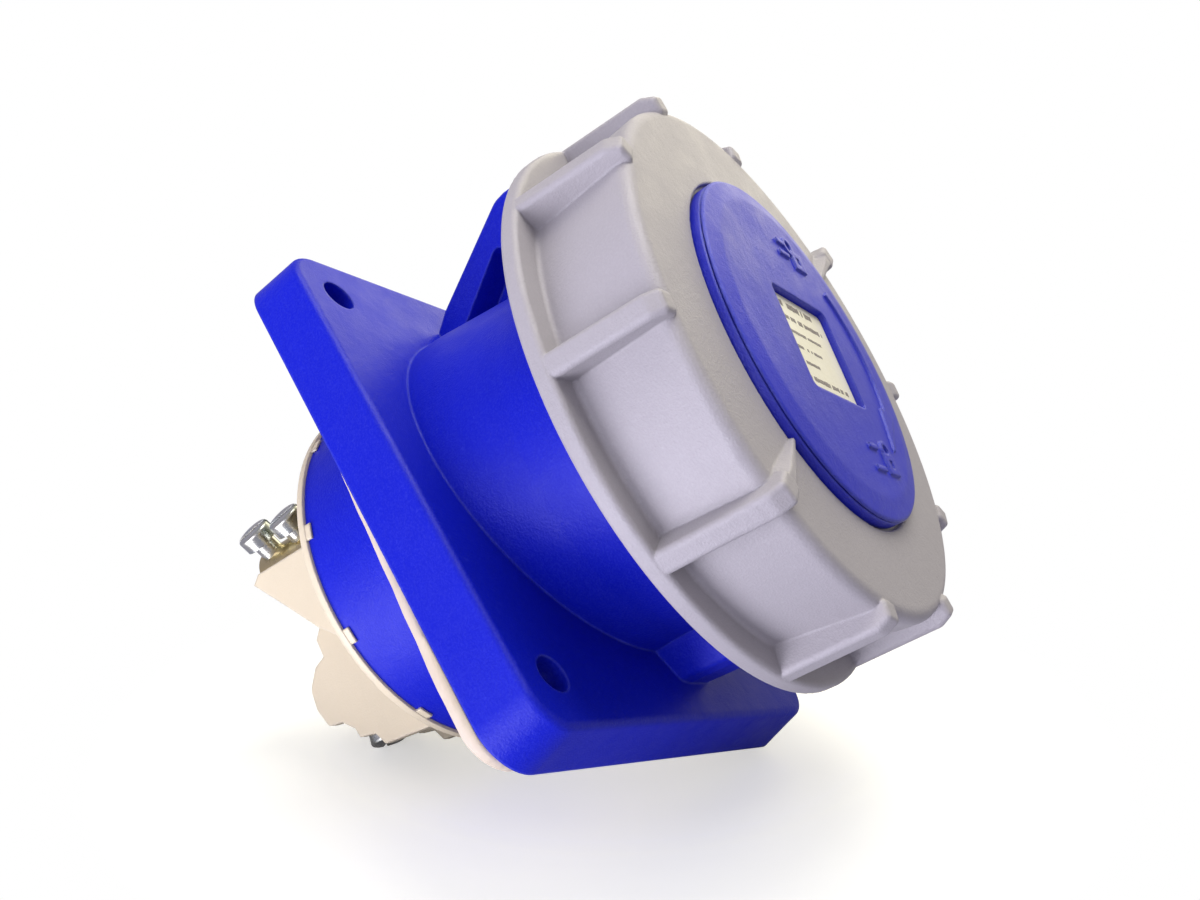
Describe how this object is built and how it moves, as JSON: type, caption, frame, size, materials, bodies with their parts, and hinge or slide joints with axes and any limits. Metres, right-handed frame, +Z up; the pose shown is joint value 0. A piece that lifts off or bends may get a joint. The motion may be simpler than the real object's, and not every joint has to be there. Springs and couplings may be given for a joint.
{
  "type": "panel mounted power inlet",
  "caption": "Angled panel-mount power inlet: gasketed flange, inclined collar with round pins, hinged lid with a finned bayonet locking ring, screw terminals at the back.",
  "frame": {"origin": "centre of the flange on the panel face, which is the back of the flange gasket", "axes": "+Z up on a wall, -Y outward from the wall to the viewer, +X to the viewer's right, +Y into the enclosure"},
  "size_m": [0.1092, 0.1361, 0.117],
  "materials": {
    "blue_plastic": "moulded satin, fine grain",
    "lid_blue": "moulded satin, fine grain",
    "grey_plastic": "moulded satin, fine grain",
    "cream_plastic": "smooth moulded thermoplastic",
    "gasket": "soft pale elastomer",
    "lid_seal": "matt elastomer",
    "label": "satin printed foil, no lettering",
    "contact_metal": "nickel plated brass",
    "screw_steel": "zinc plated",
    "pin_steel": "stainless"
  },
  "bodies": {
    "base": {"housing": "blue_plastic", "flange_gasket": "gasket", "contact_insert": "cream_plastic", "insert_screw_left": "screw_steel", "insert_screw_right": "screw_steel", "hinge_pin": "pin_steel", "line_pin": "contact_metal", "neutral_pin": "contact_metal", "earth_pin": "contact_metal", "pilot_pin": "contact_metal", "line_screw_1": "screw_steel", "line_screw_2": "screw_steel", "neutral_screw_1": "screw_steel", "neutral_screw_2": "screw_steel", "earth_screw_1": "screw_steel", "earth_screw_2": "screw_steel", "pilot_screw_1": "screw_steel"},
    "lid": {"lid": "lid_blue", "lid_disc": "lid_blue", "label_plate": "label", "lid_gasket": "lid_seal", "disc_screw_1": "screw_steel", "disc_screw_2": "screw_steel", "disc_screw_3": "screw_steel"},
    "ring": {"locking_ring": "grey_plastic"}
  },
  "joints": [
    {"name": "lid_hinge", "type": "hinge", "parent": "base", "child": "lid", "pos_m": [0, -0.0495, 0.04793], "axis": [-1, 0, 0], "range_deg": [0, 110]},
    {"name": "ring_turn", "type": "hinge", "parent": "lid", "child": "ring", "pos_m": [0, -0.05156, -0.0087], "axis": [0, 0.9711, 0.2385], "range_deg": [0, 90]}
  ]
}
